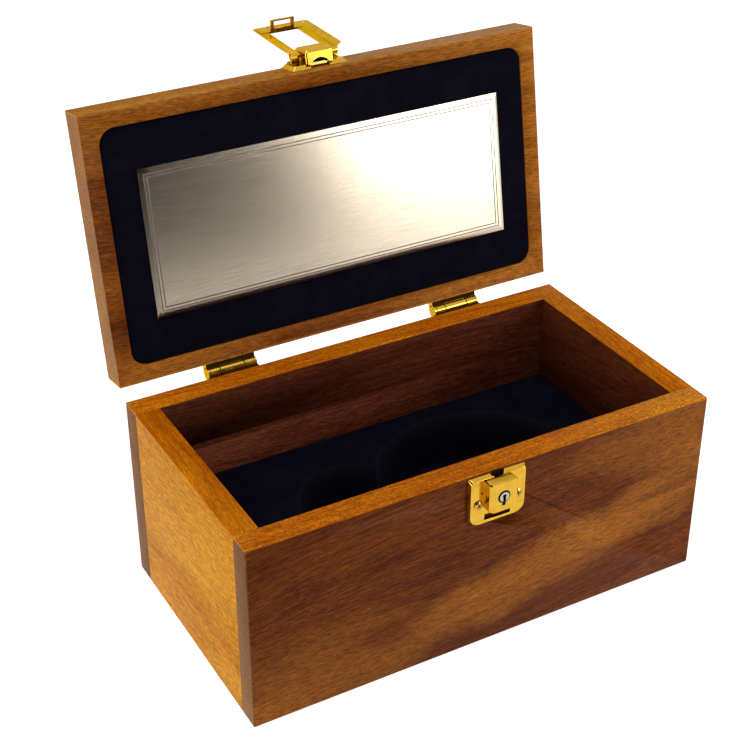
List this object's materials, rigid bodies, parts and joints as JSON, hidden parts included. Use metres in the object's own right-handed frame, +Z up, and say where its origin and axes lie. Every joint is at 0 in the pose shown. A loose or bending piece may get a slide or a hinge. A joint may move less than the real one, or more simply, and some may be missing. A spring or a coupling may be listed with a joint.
{
  "type": "microphone case",
  "caption": "Wooden presentation case with a hinged lid on stop hinges, a keyed hasp lock, a plaque in the lid and a velvet nest for a microphone.",
  "frame": {"origin": "middle of the box's underside, where it rests", "axes": "+X along the length to the right seen from the front, +Y to the back where the hinges are, +Z up; the lid stands open on its stops at rest"},
  "size_m": [0.24, 0.2118, 0.2406],
  "materials": {
    "end_wood": "satin lacquer over golden straight grain",
    "front_wood": "satin lacquer over reddish brown figured grain",
    "lid_wood": "satin lacquer over reddish brown straight grain",
    "base_wood": "matt panel",
    "dowel_wood": "raw",
    "velvet": "dark navy velvet",
    "plaque_metal": "brushed champagne plate with a plain double-line border",
    "brass": "polished",
    "brass_screw": "polished",
    "plug_metal": "bright plated",
    "steel": "plain"
  },
  "bodies": {
    "box": {"front_board": "front_wood", "back_board": "front_wood", "left_board": "end_wood", "right_board": "end_wood", "base_board": "base_wood", "corner_dowels": "dowel_wood", "insert": "velvet", "left_box_leaf": "brass", "right_box_leaf": "brass", "hinge_pins": "brass", "box_leaf_screws": "brass_screw", "lock_plate": "brass", "lock_housing": "brass", "plug_retainer": "steel", "bolt_guide": "steel", "lock_screws": "brass_screw"},
    "lid": {"lid_board": "lid_wood", "lid_panel": "velvet", "plaque": "plaque_metal", "left_lid_leaf": "brass", "right_lid_leaf": "brass", "lid_leaf_screws": "brass_screw", "hasp_plate": "brass", "hasp_block": "brass", "hasp_spring": "steel", "hasp_screws": "brass_screw"},
    "hasp": {"hasp_frame": "brass", "hasp_pin": "brass"},
    "key_plug": {"lock_plug": "plug_metal"},
    "bolt": {"lock_bolt": "steel"}
  },
  "joints": [
    {"name": "lid_hinge", "type": "hinge", "parent": "box", "child": "lid", "pos_m": [0, 0.0696, 0.097], "axis": [1, 0, 0], "range_deg": [0, 100]},
    {"name": "hasp_pivot", "type": "hinge", "parent": "lid", "child": "hasp", "pos_m": [0.002, 0.1033, 0.23342], "axis": [1, 0, 0], "range_deg": [0, 170]},
    {"name": "plug_turn", "type": "hinge", "parent": "box", "child": "key_plug", "pos_m": [0.002, -0.065, 0.0858], "axis": [0, 1, 0], "range_deg": [0, 90]},
    {"name": "bolt_slide", "type": "slide", "parent": "box", "child": "bolt", "axis": [0, 0, -1], "range_m": [0, 0.00255]}
  ],
  "couplings": [
    {"joint": "plug_turn", "follows": "bolt_slide", "rad_per_m": 617}
  ]
}
